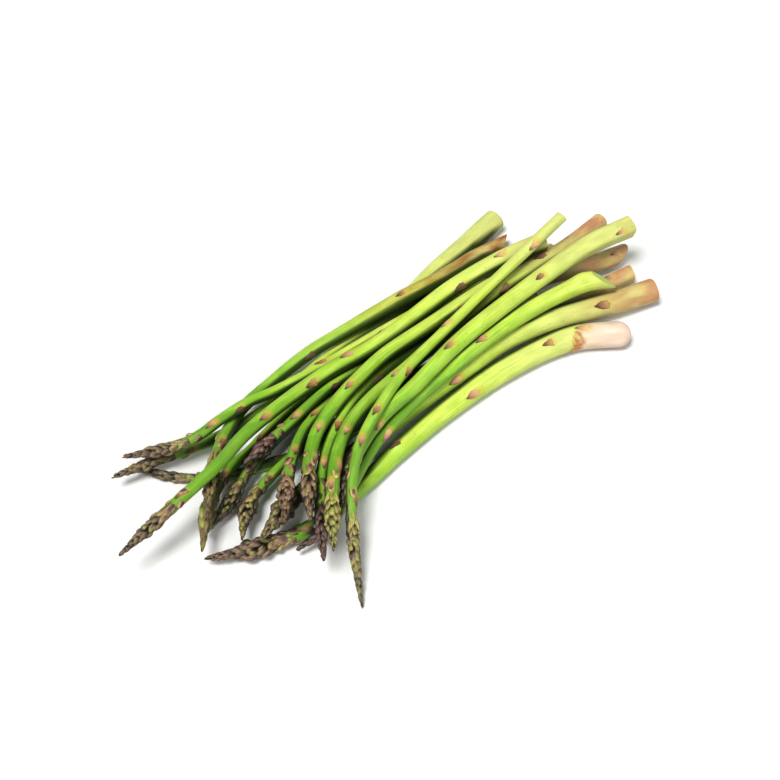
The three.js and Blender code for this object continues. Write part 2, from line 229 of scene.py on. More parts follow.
def radius_at(spear, s):
    """Outer radius at distance s from the cut: an even taper from butt to neck, then a head that
    swells to its full thickness and closes to a point."""
    head_length, head_width = spear["head"]
    neck_at = spear["length"] - head_length
    stem = spear["butt"] + (spear["neck"] - spear["butt"]) * np.clip(s / neck_at, 0, 1)
    v = np.clip((s - neck_at) / head_length, 0, 1)
    swell = np.sin(math.pi * np.clip(v / 0.7, 0, 1))
    close = np.sqrt(np.clip(1 - np.clip((v - 0.35) / 0.65, 0, 1) ** 1.6, 0, 1))
    head = np.maximum(0.5, (spear["neck"] + (head_width - spear["neck"]) * swell) * close)
    return np.where(s <= neck_at, stem, head) / 2


def plan_curve(way, count):
    """Centripetal Catmull-Rom curve through the points of a way, as count + 1 points at equal
    distances, with its length. Each span blends straight lines in three stages, and the knots
    are as far apart as the square root of the distance between the points."""
    p = np.asarray(way, float)
    p = np.vstack([2 * p[0] - p[1], p, 2 * p[-1] - p[-2]])
    spans = []
    for i in range(1, len(p) - 2):
        a, b, c, d = p[i - 1:i + 3]
        steps = np.linalg.norm(np.diff(p[i - 1:i + 3], axis=0), axis=1) ** 0.5
        ka, kb, kc, kd = np.cumsum([0.0, *steps])
        t = np.linspace(kb, kc, 60, endpoint=(i == len(p) - 3))[:, None]
        ab = a + (b - a) * (t - ka) / (kb - ka)
        bc = b + (c - b) * (t - kb) / (kc - kb)
        cd = c + (d - c) * (t - kc) / (kd - kc)
        abc = ab + (bc - ab) * (t - ka) / (kc - ka)
        bcd = bc + (cd - bc) * (t - kb) / (kd - kb)
        spans.append(abc + (bcd - abc) * (t - kb) / (kc - kb))
    fine = np.vstack(spans)
    run = np.concatenate([[0], np.cumsum(np.linalg.norm(np.diff(fine, axis=0), axis=1))])
    at = np.linspace(0, run[-1], count + 1)
    return np.stack([np.interp(at, run, fine[:, k]) for k in range(2)], -1), run[-1]


def stiff_line(h, step):
    """Heights of a stiff rod that lies on the heights h: the lowest line at the middle that
    touches h on one side of it and clears h everywhere."""
    s = np.arange(len(h)) * step
    middle = s[-1] / 2
    right = s > middle
    best = None
    for i in np.flatnonzero(~right):
        slope = ((h[right] - h[i]) / (s[right] - s[i])).max()
        line = h[i] + slope * (s - s[i])
        at = h[i] + slope * (middle - s[i])
        if (line >= h - 1e-6).all() and (best is None or at < best[0]):
            best = (at, line)
    return best[1]


def settle(h, step, stiffness, bend):
    """Heights of a springy rod laid on the heights h. Each pass moves every station to where the
    bending of its neighbours carries its weight, and nowhere lower than h. bend is the rod's own
    curve over one step when it hangs free."""
    z = stiff_line(h, step).tolist()
    h = h.tolist()
    last = len(z) - 1
    weight = step ** 4 / stiffness
    for _ in range(SWEEPS):
        for k in range(last + 1):
            force = 0.0
            hold = 0
            if k >= 2:
                force += z[k - 2] - 2 * z[k - 1] + z[k] - bend
                hold += 1
            if 1 <= k < last:
                force -= 2 * (z[k - 1] - 2 * z[k] + z[k + 1] - bend)
                hold += 4
            if k <= last - 2:
                force += z[k] - 2 * z[k + 1] + z[k + 2] - bend
                hold += 1
            pull = weight / 2 if k in (0, last) else weight
            z[k] = max(h[k], z[k] - HASTE * (force + pull) / hold)
    return np.array(z)


def lay(spear, laid):
    """Lays one spear on the table and on the spears already laid, and keeps its axis."""
    plan, spear["length"] = plan_curve(spear["way"], STEPS)
    step = spear["length"] / STEPS
    r = radius_at(spear, np.arange(STEPS + 1) * step)
    floor = r * FLAT
    for other in laid:
        across = np.linalg.norm(plan[:, None] - other["fine"][None, :, :2], axis=2)
        reach = r[:, None] + other["fine_r"][None] + GAP
        over = other["fine"][None, :, 2] + OVER * np.sqrt(np.clip(reach ** 2 - across ** 2, 0, None))
        floor = np.maximum(floor, np.where(across < reach, over, 0).max(1))
    thick = (spear["butt"] + spear["neck"]) / 2
    bend = -8 * spear["droop"] / spear["length"] ** 2 * step ** 2
    heights = settle(floor, step, FLEX * thick ** 2, bend)
    spear["axis"] = np.column_stack([plan, heights])
    spear["step"] = step
    fine = np.linspace(0, spear["length"], 4 * STEPS + 1)
    spear["fine"] = np.stack([
        np.interp(fine, np.arange(STEPS + 1) * step, spear["axis"][:, k]) for k in range(3)
    ], -1)
    spear["fine_r"] = radius_at(spear, fine)


def axis_at(spear, s):
    """Points of the axis at distances s: a Catmull-Rom curve through the laid stations."""
    at = np.clip(s / spear["step"], 0, STEPS)
    i = np.minimum(at.astype(int), STEPS - 1)
    t = (at - i)[..., None]
    p = [spear["axis"][np.clip(i + j, 0, STEPS)] for j in (-1, 0, 1, 2)]
    return p[1] + 0.5 * t * (
        p[2] - p[0] + t * (2 * p[0] - 5 * p[1] + 4 * p[2] - p[3] + t * (3 * (p[1] - p[2]) + p[3] - p[0]))
    )


def unit(v):
    """Vectors of the same directions and of length 1."""
    return v / np.linalg.norm(v, axis=-1, keepdims=True)


def place(spear, s, angle, r, push=0.0):
    """Points at distance s, turned by angle round the axis from below, at radius r, and pushed
    along the axis. What would reach the table lies flat on it."""
    s, angle, r, push = np.broadcast_arrays(*[np.asarray(x, float) for x in (s, angle, r, push)])
    ahead = np.minimum(s + LOOK_ALONG, spear["length"])
    behind = np.maximum(s - LOOK_ALONG, 0)
    along = unit(axis_at(spear, ahead) - axis_at(spear, behind))
    side = unit(np.cross([0.0, 0.0, 1.0], along))
    down = np.cross(side, along)
    p = (
        axis_at(spear, s)
        + down * (r * np.cos(angle))[..., None]
        + side * (r * np.sin(angle))[..., None]
        + along * push[..., None]
    )
    p[..., 2] = np.maximum(p[..., 2], 0)
    return p


def core_at(spear, s):
    """Radius of the bare stem: the stem's own up to the neck, then a core that narrows inside the
    head and ends a little short of its tip."""
    head_length = spear["head"][0]
    neck_at = spear["length"] - head_length
    share = np.clip((s - neck_at) / head_length, 0, 1)
    inside = spear["neck"] / 2 * np.clip(1 - share / 0.92, 0, 1) ** 0.6
    return np.where(s <= neck_at, radius_at(spear, s), np.maximum(0.1, inside))


def leaf_places(spear):
    """Distance, angle and length of each scale leaf, larger on a thicker stem. Each is turned
    on until its corners lie clear of the table and of the other spears, or is left out where
    twelve turns find no such place."""
    found = []
    for i, s in enumerate(spear["leaves"]):
        r = radius_at(spear, s)
        reach = LEAF_LONG + LEAF_LONGER * r
        half = (LEAF_WIDE + LEAF_WIDER * r) / r
        for turn in range(12):
            angle = LEAF_FACE + LEAF_SWING * math.sin(i * GOLDEN + spear["butt"])
            angle += math.ceil(turn / 2) * (0.5 if turn % 2 else -0.5)
            corners = place(
                spear,
                np.array([s + 0.22 * reach, s + reach, s, s]),
                np.array([angle, angle, angle - half, angle + half]),
                np.array([r + LEAF_LIFT, radius_at(spear, s + reach) + 0.6 * LEAF_LIFT, r, r]),
            )
            if (corners[:, 2] > 0.2).all() and all(
                (np.linalg.norm(corners[:, None] - o["fine"][None], axis=2) > o["fine_r"] + GAP + 0.1).all()
                for o in SPEARS if o is not spear
            ):
                found.append((s, angle, reach))
                break
    return found


def crowd_table(spear):
    """How far the other spears shut out the view from the stem's surface, on a grid of CROWD_ROWS
    rows along it and CROWD_SIDES round it; the materials paint shade by this amount. A short piece
    of a round stem, of radius r and length d, seen at distance f over an angle a from the
    surface's own direction and across an angle b to the stem, shuts out 2 r d cos(a) sin(b) /
    (pi f f)."""
    s, angle = np.meshgrid(
        np.linspace(0, spear["length"], CROWD_ROWS),
        np.linspace(0, 2 * math.pi, CROWD_SIDES, endpoint=False),
        indexing="ij",
    )
    points = place(spear, s, angle, radius_at(spear, s)).reshape(-1, 3)
    outward = unit(points - axis_at(spear, s).reshape(-1, 3) + 1e-6)
    shut = np.zeros(len(points))
    for other in SPEARS:
        if other is spear:
            continue
        every = 3  # one short piece of stem stands for three of its fine steps
        centres = other["fine"][::every]
        away = centres[None] - points[:, None]
        far = np.linalg.norm(away, axis=2)
        away = away / far[..., None]
        facing = np.clip((away * outward[:, None]).sum(2), 0, 1)
        slope = np.clip((away * unit(np.gradient(centres, axis=0))[None]).sum(2), -1, 1)
        piece = 2 * other["fine_r"][::every] * every * other["length"] / (4 * STEPS)
        shut += (facing * np.sqrt(1 - slope ** 2) * piece / (math.pi * far ** 2)).sum(1)
    return np.clip(shut, 0, 1).reshape(s.shape)


def crowd_at(spear, s, angle):
    """The crowding at distances s and angles round the stem, which sets the painted shade,
    blended between the grid's rows and sides."""
    row = np.clip(s / spear["length"], 0, 1) * (CROWD_ROWS - 1)
    side = np.mod(angle, 2 * math.pi) / (2 * math.pi) * CROWD_SIDES
    i = np.minimum(row.astype(int), CROWD_ROWS - 2)
    k = np.floor(side).astype(int)
    row, side = row - i, side - k
    table = spear["crowd"]
    near = table[i, k % CROWD_SIDES] * (1 - side) + table[i, (k + 1) % CROWD_SIDES] * side
    next_row = table[i + 1, k % CROWD_SIDES] * (1 - side) + table[i + 1, (k + 1) % CROWD_SIDES] * side
    return near * (1 - row) + next_row * row


def strip_faces(rings, sides):
    """Faces of one closed strip: rings of points joined by quads, with a fan to one more point
    at each end. A row of four holds a quad, and a fan's triangle repeats -1 at the end. Also
    gives the row that each face is in, with 0 for the first fan."""
    i, k = np.meshgrid(np.arange(rings - 1), np.arange(sides), indexing="ij")
    a = i * sides + k
    b = i * sides + (k + 1) % sides
    quads = np.stack([a, b, b + sides, a + sides], -1).reshape(-1, 4)
    k = np.arange(sides)
    n = (k + 1) % sides
    end = (rings - 1) * sides
    empty = np.full(sides, -1)
    first = np.stack([np.full(sides, rings * sides), n, k, empty], -1)
    last = np.stack([np.full(sides, rings * sides + 1), end + k, end + n, empty], -1)
    rows = np.concatenate([np.zeros(sides, int), (i + 1).ravel(), np.full(sides, rings)])
    return np.concatenate([first, quads, last]), rows


def strips(points, grain, materials, **marks):
    """Closed strips from an array of shape (strips, rings, sides, 3). grain is a position of the
    same shape that the patterns run by, and each mark is a number for every point. The end
    points are the means of the end rings."""
    count, rings, sides, _ = points.shape
    faces, rows = strip_faces(rings, sides)
    size = rings * sides + 2
    offset = (np.arange(count) * size)[:, None, None]
    all_faces = np.where(faces[None] < 0, -1, faces[None] + offset).reshape(-1, 4)

    def closed(values):
        """The values of every strip one after another, each with the means of its end rings."""
        ends = np.stack([values[:, 0].mean(1), values[:, -1].mean(1)], 1)
        flat = values.reshape(count, rings * sides, -1)
        return np.concatenate([flat, ends], 1).reshape(count * size, -1)

    full = {
        name: closed(np.broadcast_to(value, points.shape[:3])[..., None])
        for name, value in marks.items()
    }
    return dict(
        points=closed(points),
        grain=closed(np.broadcast_to(grain, points.shape)),
        faces=all_faces,
        marks=full,
        materials=np.tile(np.asarray(materials)[rows], count),
    )


def stem_relief(spear, s, angle, phase, leaf_list):
    """Radius of a stem's skin, and how near each point is to the root of a scale leaf. The
    section is a circle that the butt squares off a little. Its radius waves gently along the
    stem, and a cushion swells under every scale leaf."""
    look = spear["look"]
    square = look["square"] * (1 - smooth_step(s / (0.6 * spear["length"])))
    r = core_at(spear, s)
    r = r * (1 + square * np.cos(4 * (angle - phase[0])))
    r = r * (1 + 0.014 * np.sin(s / 9 + phase[1]) + 0.012 * np.sin(s / 21 + phase[2] + angle))
    halo = np.zeros_like(s)
    for at, turn, reach in leaf_list:
        beside = (np.mod(angle - turn + math.pi, 2 * math.pi) - math.pi) * radius_at(spear, at)
        cushion = ((s - at - 0.2 * reach) / (0.45 * reach)) ** 2 + (beside / 3.0) ** 2
        r = r + CUSHION * np.exp(-cushion)
        halo = np.maximum(halo, np.exp(-((s - at + 0.3) / 2.2) ** 2 - (beside / 2.4) ** 2))
    if "crease" in look:
        r = r - CREASE * np.exp(-((s - look["crease"]) / 0.8) ** 2)
    return r, halo


def root_marks(spear, s, angle):
    """How far the skin is that of the pale root end, and how scarred it is beside that end's
    edge, which wanders round the stem as a sum of two sines."""
    if "root" not in spear["look"]:
        return 0.0, 0.0
    edge = s - spear["look"]["root"] - 4 * np.sin(angle + 1) - 1.2 * np.sin(3 * angle)
    root = 0.8 * (1 - smooth_step(edge / 3)) + 0.2 * (1 - smooth_step(edge / 12 + 1))
    scar = np.exp(-((edge - 3) / 5.5) ** 2) * (0.35 + 0.65 * np.cos(0.5 * (angle - 1.6)) ** 2)
    return root, scar


def stem(spear, leaf_list):
    """The stem from its cut face to the core inside the head. The cut is a slanted plane with a
    rounded rim, which the first rings cross on a quarter turn, and swells a little in its middle."""
    rng = np.random.default_rng(int(spear["name"][-2:]))
    look = spear["look"]
    length = spear["length"]
    head_length = spear["head"][0]
    neck_at = length - head_length
    rim = np.radians([3, 20, 38, 54, 66, 76, 84, 90])
    depth = look["round"]
    body_s = np.linspace(depth + 0.5, neck_at + 0.9 * head_length, int(length / STEM_STEP))
    s = np.concatenate([depth * (1 - np.cos(rim)), body_s])
    share = np.concatenate([np.sin(rim), np.ones(len(body_s))])[:, None]
    bare = np.concatenate([np.linspace(0, 1, len(rim)), np.ones(len(body_s))])[:, None]
    around = np.linspace(0, 2 * math.pi, STEM_SIDES, endpoint=False)
    s, angle = np.meshgrid(s, around, indexing="ij")
    phase = rng.uniform(0, 6.3, 4)
    r, halo = stem_relief(spear, s, angle, phase, leaf_list)
    root, scar = root_marks(spear, s, angle)
    # The plane of the cut leans over to its side, and that slant fades out along the stem.
    slant = math.tan(math.radians(spear["cut"][0]))
    push = slant * radius_at(spear, 0) * (0.94 + share * np.cos(angle - spear["cut"][1]))
    push = push * (1 - smooth_step(s / (2.5 * spear["butt"] * max(slant, 0.4))))
    swell = -0.25 * (1 - share ** 2) * (1 - bare)
    points = place(spear, s, angle, r * share, push + swell)
    run = s + push
    pale = 1 - smooth_step(run / (look["pale"] * length) * 0.8)
    blush = (1 - smooth_step(run / (max(look["blush"], 0.01) * length) * 0.8)) * min(1, 4 * look["blush"])
    grain = np.stack([r * share * np.cos(angle), r * share * np.sin(angle), s + 40 * phase[0]], -1)
    cut_rows = 0 if "root" in look else 6  # rows of faces that are flesh; the rest is skin
    return strips(
        points[None], grain[None], [FLESH] * cut_rows + [SKIN] * (len(s) + 1 - cut_rows),
        pale=pale, blush=blush, halo=halo, scar=scar, root=root, share=share,
        along=s / length + 0.02 * (9 - spear["butt"]) + look["green"],
        # The next mark is painted shade: it darkens the green on the stem's lower side.
        under=0.5 + 0.5 * np.cos(angle - 0.5),
        # The next mark is painted shade: it darkens the skin where the other spears shut out the view.
        crowd=crowd_at(spear, s, angle) * share ** 2,
        # The next mark is painted shade: it darkens the core inside the head, among the scales.
        inner=0.8 * smooth_step((s - neck_at) / 10),
        dry=look["dry"],
        fresh=look["fresh"],
    )


def leaf_shapes(spear, leaf_list):
    """The triangular scale leaves pressed to the stem. Across u from -1 to 1 and along v from 0
    to 1, the half width narrows to a point that leans to one side, the blade is thickest along
    its middle, its edge is a little torn, and its tip stands free."""
    rng = np.random.default_rng(100 + int(spear["name"][-2:]))
    at, turn, reach = [np.array(x)[:, None, None] for x in zip(*leaf_list)]
    # Fifteen points across the face of a leaf, and seven back under it.
    front = np.linspace(-1, 1, 15)
    back = np.linspace(1, -1, 9)[1:-1]
    u = np.concatenate([front, back])[None, None]
    outer = np.concatenate([np.ones(len(front)), np.zeros(len(back))])[None, None]
    v = np.linspace(0, 1, 13)[None, :, None]
    chance = rng.uniform(0, 1, at.shape)
    lean = rng.uniform(-1, 1, at.shape)
    size = rng.uniform(0.7, 1.05, at.shape)
    r_at = radius_at(spear, at)
    torn = 1 + 0.10 * np.sin(9 * v + 20 * chance) + 0.07 * np.sin(21 * v + 40 * chance)
    half = size * (LEAF_WIDE + LEAF_WIDER * r_at) / r_at * ((1 - v) ** 0.9 * (1 + 0.3 * v) * torn + 0.02)
    ragged = 0.5 * np.sin(3 * u + 9 * chance) * np.sin(7 * u + 30 * chance)
    s = at + v * reach * size - (0.3 * (1 - u ** 2) - ragged) * (1 - v) ** 2
    lift = LEAF_LIFT * np.sin(math.pi * np.clip(0.1 + 0.8 * v, 0, 1)) ** 0.7 * (1 - np.abs(u) ** 2.5)
    lift = lift - 0.12 + 0.2 * smooth_step(v / 0.2) + 0.35 * smooth_step((v - 0.55) / 0.45)
    under = -0.5 + (0.35 + 0.4 * LEAF_LIFT) * smooth_step((v - 0.6) / 0.4)
    r = radius_at(spear, s) + np.where(outer > 0, lift, under)
    points = place(spear, s, turn + u * half + 0.6 * lean * v / r_at, r)
    u, v, s, chance, angle, _ = np.broadcast_arrays(u, v, s, chance, turn, r)
    grain = np.stack([u * 3, chance * 50, v * reach], -1)
    # Painted shade where the other spears shut out the view.
    crowd = crowd_at(spear, s, angle)
    return strips(points, grain, [LEAF] * (v.shape[1] + 1), across=u, up=v, chance=chance, crowd=crowd)


def head_shapes(spear, thick, ahead, long, wide, blunt, top, seed):
    """Scales of a head, set at the golden angle one after another and closer together towards
    the tip, with a few more down the neck. Each is a tongue that rises from the core to the
    outline of the head and ends free, over a hollow. thick is how many there are to a millimetre
    of head, blunt rounds the end, top is how near it comes to the outline, and ahead moves it
    towards the tip."""
    rng = np.random.default_rng(seed)
    head_length, head_width = spear["head"]
    neck_at = spear["length"] - head_length
    count = int(thick * head_length)
    row = (np.arange(count) + 0.5) / count
    share = 0.95 * row ** 0.9 - 0.02
    if blunt < 3:
        share = np.concatenate([NECK_SCALES, share])
    count = len(share)
    size = (1.05 - 0.5 * smooth_step((share - 0.45) / 0.55)) * rng.uniform(0.72, 1.25, count)
    turn = np.arange(count) * GOLDEN + seed + rng.uniform(-0.35, 0.35, count)
    at = neck_at + head_length * share + rng.uniform(-0.9, 0.9, count)
    rise = top * rng.uniform(0.78, 1.08, count)
    chance = rng.uniform(0, 1, count)
    lean = rng.uniform(-0.5, 0.5, count) * smooth_step((share + 0.1) / 0.2)
    # low marks the scales on the neck, which lie loose, and early those with no hollow under them.
    early = smooth_step((0.22 - share) / 0.2)
    low = smooth_step((0.03 - share) / 0.2)
    at, turn, size, rise, chance, lean, early, low = [
        x[:, None, None] for x in (at, turn, size, rise, chance, lean, early, low)
    ]
    u = np.array([-1, -0.55, 0, 0.55, 1, 0])[None, None]
    outer = np.array([1, 1, 1, 1, 1, 0])[None, None]
    v = np.array([0, 0.25, 0.5, 0.72, 0.9, 1.0])[None, :, None]
    reach = long * size * (1 - 0.35 * low)
    s = np.minimum(at + (v + ahead - 0.5) * reach, spear["length"] - 0.05)
    core = np.minimum(core_at(spear, s), radius_at(spear, s))
    outline = np.maximum(radius_at(spear, s) * rise, core) + 0.8 * low
    bulge = smooth_step(0.05 + v / 0.65) * (1 - 0.3 * smooth_step((v - 0.75) / 0.25))
    crown = core + (outline - core) * bulge
    half = wide * size * ((1 - v ** blunt) ** 0.6 * (0.8 + 0.4 * v) + 0.04)
    over = core + (crown - core) * (1 - 0.75 * np.abs(u) ** 2) + 0.04
    inner = core - 0.3 + (crown - core) * 0.45 * smooth_step((v - 0.3) / 0.6)
    r = np.where(outer > 0, over, inner)
    angle = turn + lean * v + u * half / np.maximum(0.8 * crown, 0.8)
    points = place(spear, s, angle, r)
    u, v, s, half, chance, angle, r, core, outline, early, low = np.broadcast_arrays(
        u, v, s, half, chance, angle, r, core, outline, early, low)
    grain = np.stack([u * half, chance * 90, v * reach], -1)
    look = spear["look"]
    return strips(
        points, grain, [TIP] * (v.shape[1] + 1),
        across=u * outer, up=v, chance=chance,
        purple=look["purple"] + 0.2 * low,
        # light: how far the edges and ends are lightened, partly painted highlight, more on the neck.
        light=look["light"] + 0.5 * low,
        along=(s - neck_at) / head_length,
        bud=1.0 if blunt > 3 else 0.0,
        # The next mark is painted shade where the other spears shut out the view.
        crowd=crowd_at(spear, s, angle),
        # height sets the painted shade of the hollows: the nearer a point lies to the core, the darker;
        # early scales get none.
        height=(r - core) / (outline - core + 0.5) + 2 * early,
    )


def head(spear):
    """The scaly head: pointed scales, and the round buds that swell out from behind them."""
    number = int(spear["name"][-2:])
    width = spear["head"][1]
    long = (0.45 * width + 2.4) * spear["look"]["long"]
    wide = 0.14 * width + 0.7
    return [
        head_shapes(spear, SCALES, 0.0, long, wide, 2.0, 1.0, 200 + number),
        head_shapes(spear, BUDS, 0.25, 0.62 * long, 0.85 * wide, 5.0, 0.93, 300 + number),
    ]


def colour(text):
    """Linear colour from an sRGB hex value."""
    parts = [int(text[i:i + 2], 16) / 255 for i in (1, 3, 5)]
    return tuple(p / 12.92 if p < 0.04045 else ((p + 0.055) / 1.055) ** 2.4 for p in parts) + (1.0,)


def node(tree, kind, inputs=None, stops=None, out=0, **settings):
    """Adds one node and gives its output out. settings are its own properties, stops the colours
    of a ramp, and inputs fills each socket with a value, or links it where a socket is given."""
    made = tree.nodes.new(kind)
    for name, value in settings.items():
        setattr(made, name, value)
    if stops:
        ramp = made.color_ramp.elements
        while len(ramp) < len(stops):
            ramp.new(0.5)
        for element, (at, text) in zip(ramp, stops):
            element.position = at
            element.color = colour(text)
    for name, value in (inputs or {}).items():
        if isinstance(value, bpy.types.NodeSocket):
            tree.links.new(value, made.inputs[name])
        else:
            made.inputs[name].default_value = value
    return made.outputs[out]


BLEND = dict(data_type="RGBA", out=2)  # settings of a Mix node for colours, and its colour output


def blank(name, roughness):
    """A new material with nothing but its surface shader and output, its node tree and shader."""
    material = bpy.data.materials.new(name)
    material.use_nodes = True
    shader = material.node_tree.nodes["Principled BSDF"]
    shader.inputs["Roughness"].default_value = roughness
    return material, material.node_tree, shader


def growing_green(tree, grain, fibre, along, under):
    """Colour of the growing skin: bright yellow-green in patches, greener towards the head, painted
    shade that makes it a darker green on its underside, and lighter lengthwise streaks."""
    patch = node(tree, "ShaderNodeTexNoise", {"Vector": grain, "Scale": 1 / PATCH, "Detail": 3})
    age = node(tree, "ShaderNodeMath", {0: patch, 1: 0.35, 2: along}, operation="MULTIPLY_ADD")
    # Painted shade: the lower side moves down the ramp to a darker green.
    shade = node(tree, "ShaderNodeMath", {0: under, 1: 0.24, 2: age}, operation="MULTIPLY_ADD")
    green = node(tree, "ShaderNodeValToRGB", {"Fac": shade}, stops=[
        (0.35, "#B5C654"), (0.60, "#A8C23A"), (0.80, "#8CB628"), (0.96, "#70A41A"), (1.0, "#5C9014"),
    ])
    bright = node(tree, "ShaderNodeHueSaturation", {
        "Hue": 0.485, "Saturation": 0.9, "Value": 1.2, "Color": green,
    })
    streak = node(tree, "ShaderNodeTexNoise", {"Vector": fibre, "Scale": 1 / STREAK, "Detail": 4})
    lines = node(tree, "ShaderNodeMapRange", {"Value": streak, "From Min": 0.35, "From Max": 0.7})
    return node(tree, "ShaderNodeMix", {0: lines, 6: green, 7: bright}, **BLEND)


def butt_tan(tree, long_spots, dry):
    """Colour of the skin near the cut: straw, with rosy blotches that are brown on a dry end."""
    blotch = node(tree, "ShaderNodeTexNoise", {"Vector": long_spots, "Scale": 1 / BLOTCH, "Detail": 4})
    spots = node(tree, "ShaderNodeMapRange", {"Value": blotch, "From Min": 0.36, "From Max": 0.58})
    rosy = node(tree, "ShaderNodeMix", {0: dry, 6: colour("#BC8868"), 7: colour("#86480F")}, **BLEND)
    return node(tree, "ShaderNodeMix", {0: spots, 6: colour("#BFAE6C"), 7: rosy}, **BLEND)


def blemishes(tree, grain, mottle, scar, halo, skin):
    """The colour skin with rust-red torn flakes where it is scarred, warm rings at the roots of
    the scale leaves, and a few brown specks."""
    torn = node(tree, "ShaderNodeTexNoise", {"Vector": grain, "Scale": 1 / SORE, "Detail": 6})
    sore = node(tree, "ShaderNodeMath", {0: torn, 1: scar}, operation="MULTIPLY")
    broken = node(tree, "ShaderNodeMapRange", {
        "Value": sore, "From Min": 0.22, "From Max": 0.48, "To Max": 0.85,
    })
    scarred = node(tree, "ShaderNodeMix", {0: broken, 6: skin, 7: colour("#A2522A")}, **BLEND)
    ragged = node(tree, "ShaderNodeMath", {0: mottle, 1: 0.7, 2: halo}, operation="MULTIPLY_ADD")
    ring = node(tree, "ShaderNodeMapRange", {
        "Value": ragged, "From Min": 0.55, "From Max": 1.3, "To Max": 0.65,
    })
    warm = node(tree, "ShaderNodeMix", {0: ring, 6: scarred, 7: colour("#C69A48")}, **BLEND)
    cells = node(tree, "ShaderNodeTexVoronoi", {"Vector": grain, "Scale": 1 / SPECK_APART})
    speck = node(tree, "ShaderNodeMapRange", {
        "Value": cells, "From Min": 0.03, "From Max": 0.13, "To Min": 0.6, "To Max": 0.0,
    })
    return node(tree, "ShaderNodeMix", {0: speck, 6: warm, 7: colour("#5A4A1A")}, **BLEND)


def stem_skin():
    """Living skin under a thin bloom of wax: a soft sheen and a little light from within, fine
    lengthwise ribs, paler at the cut end, and with painted shade: dark olive on the core inside the
    head and nearly black green where the neighbours close round it."""
    material, tree, shader = blank("fresh_waxy_stem_skin", 0.5)
    pale, blush, halo, scar, root, along, under, dry, crowd, inner = [
        node(tree, "ShaderNodeAttribute", attribute_name=name, out="Fac")
        for name in ("pale", "blush", "halo", "scar", "root", "along", "under", "dry", "crowd", "inner")
    ]
    grain = node(tree, "ShaderNodeAttribute", attribute_name="grain", out="Vector")
    fibre = node(tree, "ShaderNodeMapping", {"Vector": grain, "Scale": (1, 1, 0.05)})
    long_spots = node(tree, "ShaderNodeMapping", {"Vector": grain, "Scale": (1, 1, 0.3)})
    mottle = node(tree, "ShaderNodeTexNoise", {"Vector": long_spots, "Scale": 1 / MOTTLE, "Detail": 5})
    green = growing_green(tree, grain, fibre, along, under)
    tan = butt_tan(tree, long_spots, dry)
    cream = node(tree, "ShaderNodeMix", {0: pale, 6: green, 7: colour("#BABF6C")}, **BLEND)
    skin = node(tree, "ShaderNodeMix", {0: blush, 6: cream, 7: tan}, **BLEND)
    rooted = node(tree, "ShaderNodeMix", {0: root, 6: skin, 7: colour("#D2BAA4")}, **BLEND)
    soft = node(tree, "ShaderNodeMapRange", {
        "Value": mottle, "From Min": 0.3, "From Max": 0.7, "To Min": 0.86, "To Max": 1.12,
    })
    uneven = node(tree, "ShaderNodeHueSaturation", {"Value": soft, "Color": rooted})
    marked = blemishes(tree, grain, mottle, scar, halo, uneven)
    # Painted shade: the core inside the head turns dark olive, as the scales round it would shade it.
    core_painted_shade = node(tree, "ShaderNodeMix", {0: inner, 6: marked, 7: colour("#3A481A")}, **BLEND)
    # Painted shade: the skin turns nearly black green where the other spears shut out the view.
    shut = node(tree, "ShaderNodeMapRange", {
        "Value": crowd, "From Min": 0.66, "From Max": 1.0, "To Max": 0.97,
    })
    final = node(tree, "ShaderNodeMix", {0: shut, 6: core_painted_shade, 7: colour("#1F3606")}, **BLEND)
    tree.links.new(final, shader.inputs["Base Color"])
    ribs = node(tree, "ShaderNodeTexNoise", {"Vector": fibre, "Scale": 1 / RIB, "Detail": 4})
    bump = node(tree, "ShaderNodeBump", {"Height": ribs, "Strength": 0.35, "Distance": 0.0005})
    tree.links.new(bump, shader.inputs["Normal"])
    shader.inputs["Specular IOR Level"].default_value = 0.22
    shader.inputs["Subsurface Weight"].default_value = 0.08
    shader.inputs["Subsurface Radius"].default_value = (0.6, 1.0, 0.2)
    shader.inputs["Subsurface Scale"].default_value = 0.0012
    return material


def cut_face():
    """Knife-cut flesh: damp and pale, dotted with fibre bundles, with a greener rim, and brown
    where it has dried."""
    material, tree, shader = blank("knife_cut_flesh", 0.5)
    share, dry, fresh = [
        node(tree, "ShaderNodeAttribute", attribute_name=name, out="Fac")
        for name in ("share", "dry", "fresh")
    ]
    grain = node(tree, "ShaderNodeAttribute", attribute_name="grain", out="Vector")
    flat = node(tree, "ShaderNodeMapping", {"Vector": grain, "Scale": (1, 1, 0)})
    cells = node(tree, "ShaderNodeTexVoronoi", {"Vector": flat, "Scale": 1 / BUNDLE_APART})
    flesh = node(tree, "ShaderNodeValToRGB", {"Fac": cells}, stops=[
        (0.05, "#8F9A48"), (0.3, "#B9BE74"), (1.0, "#C8CA90"),
    ])
    patch = node(tree, "ShaderNodeTexNoise", {"Vector": grain, "Scale": 1 / DRIED, "Detail": 4})
    amount = node(tree, "ShaderNodeMath", {0: patch, 1: dry}, operation="MULTIPLY")
    spread = node(tree, "ShaderNodeMapRange", {"Value": amount, "From Min": 0.05, "From Max": 0.4})
    dried = node(tree, "ShaderNodeMix", {0: spread, 6: flesh, 7: colour("#A85A1C")}, **BLEND)
    juicy = node(tree, "ShaderNodeMix", {0: fresh, 6: dried, 7: colour("#9CB840")}, **BLEND)
    edge = node(tree, "ShaderNodeMapRange", {
        "Value": share, "From Min": 0.7, "From Max": 1.0, "To Max": 0.8,
    })
    final = node(tree, "ShaderNodeMix", {0: edge, 6: juicy, 7: colour("#96A03C")}, **BLEND)
    tree.links.new(final, shader.inputs["Base Color"])
    bump = node(tree, "ShaderNodeBump", {"Height": cells, "Strength": 0.4, "Distance": 0.0004})
    tree.links.new(bump, shader.inputs["Normal"])
    return material


